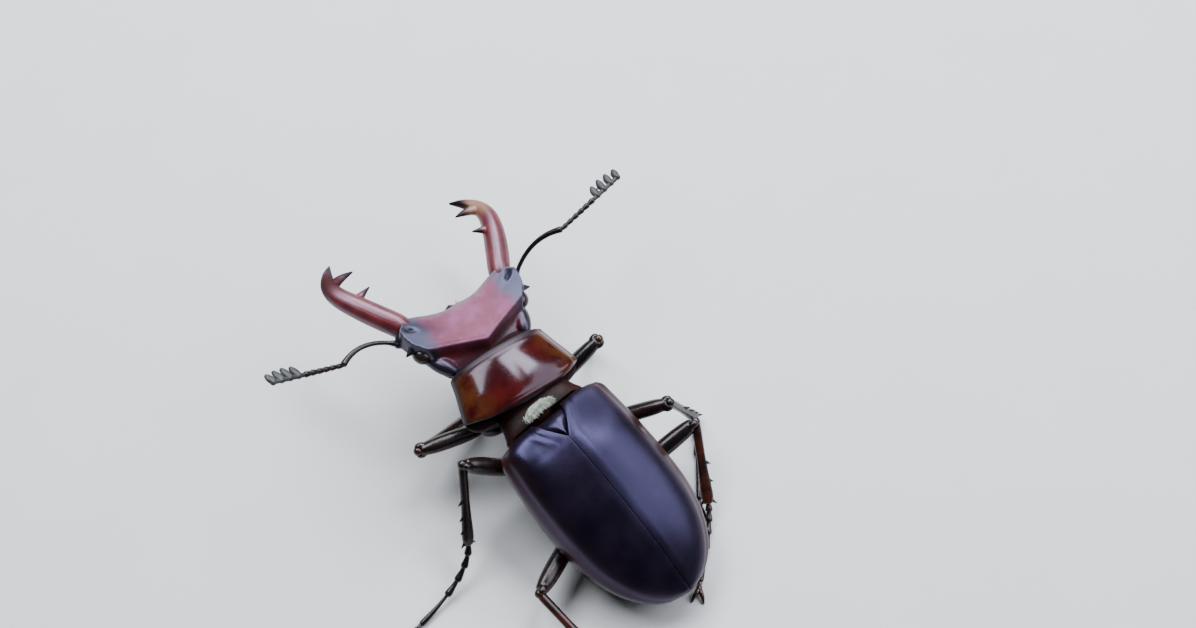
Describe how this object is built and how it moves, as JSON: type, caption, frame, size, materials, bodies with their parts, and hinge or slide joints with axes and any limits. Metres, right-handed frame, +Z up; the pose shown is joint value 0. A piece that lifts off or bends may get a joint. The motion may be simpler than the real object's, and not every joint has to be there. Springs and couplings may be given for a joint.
{
  "type": "stag beetle model",
  "caption": "Male stag beetle standing on its feet, with long forked mandibles, smooth wing cases and elbowed comb-tipped antennae.",
  "frame": {"origin": "bottom centre of the object's box, on the floor it stands on", "axes": "+Z up, head towards -Y, the beetle's left towards +X"},
  "size_m": [0.0394, 0.0466, 0.0159],
  "materials": {
    "wing_case": "gloss, blue-black with a violet-grey sheen",
    "chest": "gloss, dark red-brown",
    "head": "satin, red-brown with a pink-lilac sheen",
    "mandible": "gloss, red-brown with dark tines",
    "limb": "gloss, black",
    "belly": "satin, black-brown",
    "eye": "gloss, black"
  },
  "bodies": {
    "root": {"abdomen": "belly", "breast_plate": "belly", "claws_left_fore": "limb", "claws_left_hind": "limb", "claws_left_mid": "limb", "claws_right_fore": "limb", "claws_right_hind": "limb", "claws_right_mid": "limb", "club_left": "limb", "club_right": "limb", "coxa_left_fore": "limb", "coxa_left_hind": "limb", "coxa_left_mid": "limb", "coxa_right_fore": "limb", "coxa_right_hind": "limb", "coxa_right_mid": "limb", "eye_left": "eye", "eye_right": "eye", "femur_left_fore": "limb", "femur_left_hind": "limb", "femur_left_mid": "limb", "femur_right_fore": "limb", "femur_right_hind": "limb", "femur_right_mid": "limb", "funicle_left": "limb", "funicle_right": "limb", "head": "head", "labrum": "limb", "mandible_left": "mandible", "mandible_right": "mandible", "palp_left": "limb", "palp_right": "limb", "pronotum": "chest", "scape_left": "limb", "scape_right": "limb", "scutellum": "wing_case", "tarsus_left_fore": "limb", "tarsus_left_hind": "limb", "tarsus_left_mid": "limb", "tarsus_right_fore": "limb", "tarsus_right_hind": "limb", "tarsus_right_mid": "limb", "thorax": "belly", "tibia_left_fore": "limb", "tibia_left_hind": "limb", "tibia_left_mid": "limb", "tibia_right_fore": "limb", "tibia_right_hind": "limb", "tibia_right_mid": "limb", "wing_case_left": "wing_case", "wing_case_right": "wing_case"}
  },
  "joints": []
}
